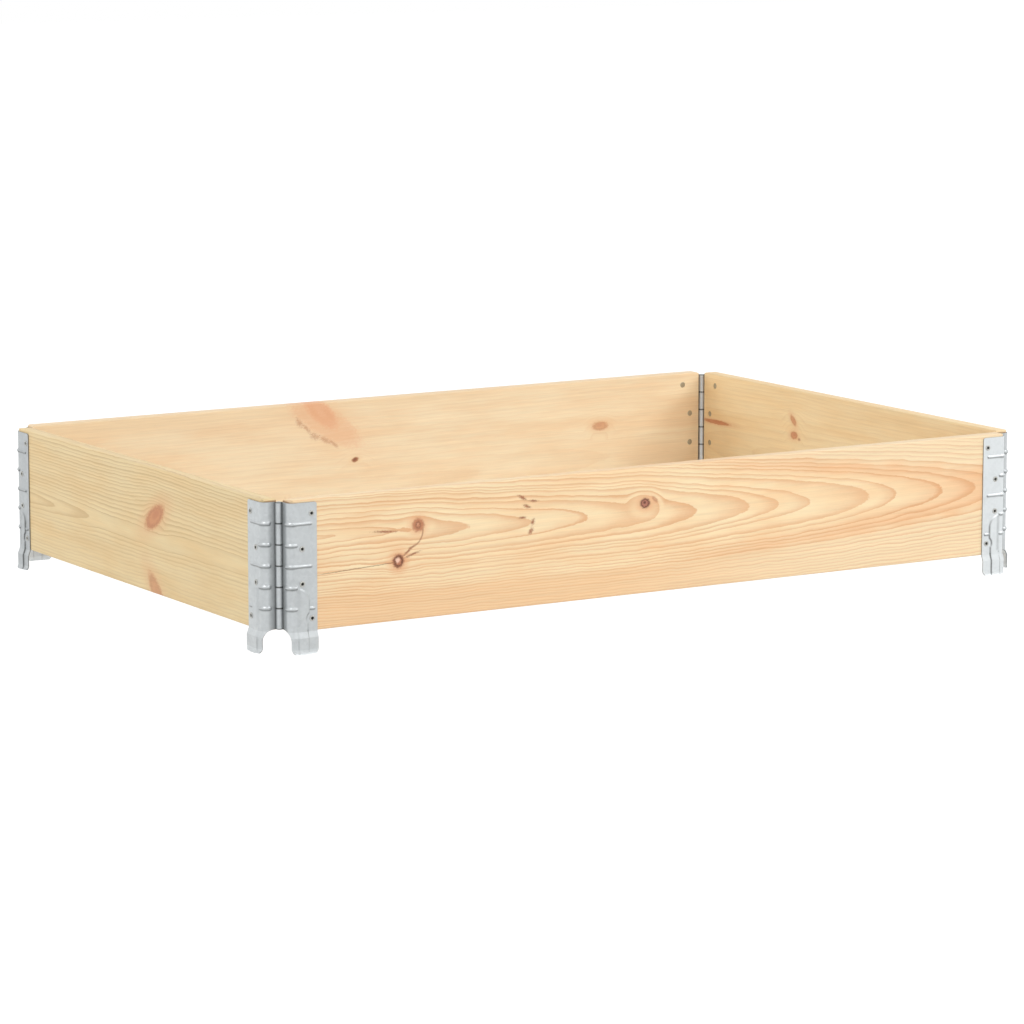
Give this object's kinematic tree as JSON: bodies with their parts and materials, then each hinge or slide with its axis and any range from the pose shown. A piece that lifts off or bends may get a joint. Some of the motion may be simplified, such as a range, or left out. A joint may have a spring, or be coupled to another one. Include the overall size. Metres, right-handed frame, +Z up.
{
  "type": "pallet collar",
  "caption": "Rectangular wooden collar for a pallet: pine boards joined at the corners by pressed steel hinges, with legs that locate it on the pallet, so that it folds flat.",
  "frame": {"origin": "middle of the collar, on the surface that the legs stand on", "axes": "+X along the long boards, +Y from the front board to the back board, +Z up"},
  "size_m": [1.216, 0.816, 0.201],
  "materials": {
    "pine": "planed, untreated",
    "leaf_steel": "galvanised, pressed",
    "fastener_steel": "zinc plated"
  },
  "bodies": {
    "front": {"front_board": "pine", "front_leaf_left": "leaf_steel", "front_leaf_right": "leaf_steel", "front_rivets_left": "fastener_steel", "front_rivets_right": "fastener_steel", "front_left_pin": "fastener_steel", "front_right_pin": "fastener_steel"},
    "right": {"right_board": "pine", "right_leaf_front": "leaf_steel", "right_leaf_back": "leaf_steel", "right_rivets_front": "fastener_steel", "right_rivets_back": "fastener_steel", "back_right_pin": "fastener_steel"},
    "back": {"back_board": "pine", "back_leaf_right": "leaf_steel", "back_leaf_left": "leaf_steel", "back_rivets_right": "fastener_steel", "back_rivets_left": "fastener_steel"},
    "left": {"left_board": "pine", "left_leaf_back": "leaf_steel", "left_leaf_front": "leaf_steel", "left_rivets_back": "fastener_steel", "left_rivets_front": "fastener_steel", "back_left_pin": "fastener_steel"}
  },
  "joints": [
    {"name": "front_left_fold", "type": "hinge", "parent": "front", "child": "left", "pos_m": [-0.5795, -0.3795, 0.114], "axis": [0, 0, 1], "range_deg": [-89.5, 89.5]},
    {"name": "front_right_fold", "type": "hinge", "parent": "front", "child": "right", "pos_m": [0.5795, -0.3795, 0.114], "axis": [0, 0, 1], "range_deg": [-89.5, 89.5]},
    {"name": "back_left_fold", "type": "hinge", "parent": "left", "child": "back", "pos_m": [-0.5795, 0.3795, 0.114], "axis": [0, 0, 1], "range_deg": [-89.5, 89.5]}
  ],
  "couplings": [
    {"joint": "front_right_fold", "follows": "front_left_fold", "ratio": 1},
    {"joint": "back_left_fold", "follows": "front_left_fold", "ratio": -1}
  ]
}
